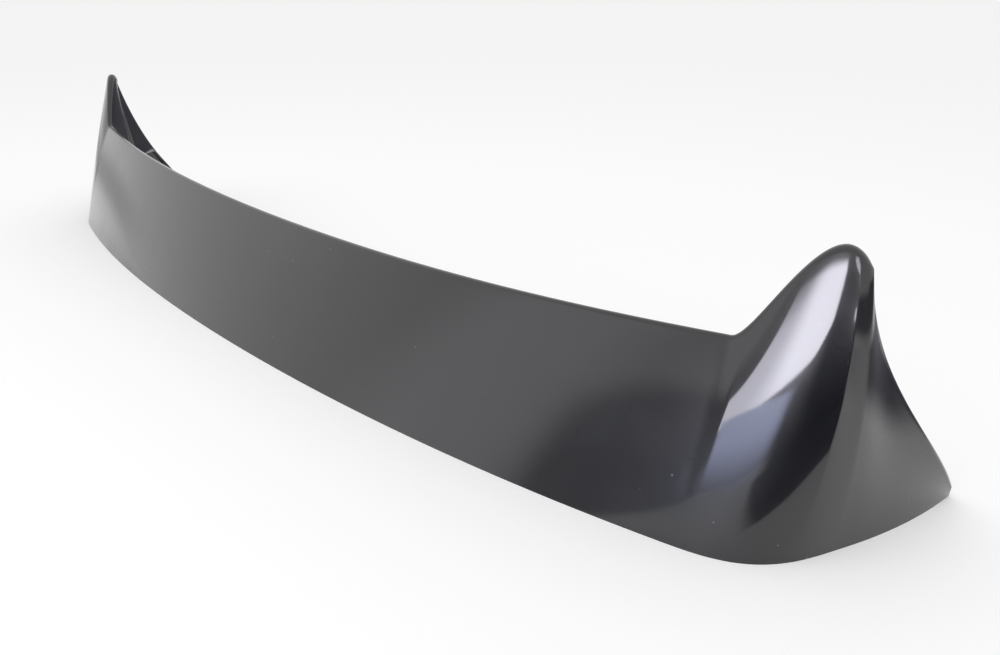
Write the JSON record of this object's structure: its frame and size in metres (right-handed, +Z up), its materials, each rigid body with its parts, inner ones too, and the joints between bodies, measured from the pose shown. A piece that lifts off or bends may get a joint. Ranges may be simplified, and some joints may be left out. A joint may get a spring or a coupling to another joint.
{
  "type": "roof spoiler",
  "caption": "Roof spoiler for a car's tailgate: thin black shell with a raked panel, swept side wings and raised pointed ears, open at the back and underneath.",
  "frame": {"origin": "middle of the leading edge, on the plane of the rim that the spoiler stands on", "axes": "+X along the span, +Y from the leading edge to the back, +Z up from the rim"},
  "size_m": [1.1514, 0.2296, 0.1849],
  "materials": {
    "shell": "satin-gloss black gel coat over glass-fibre laminate"
  },
  "bodies": {
    "root": {"spoiler": "shell"}
  },
  "joints": []
}
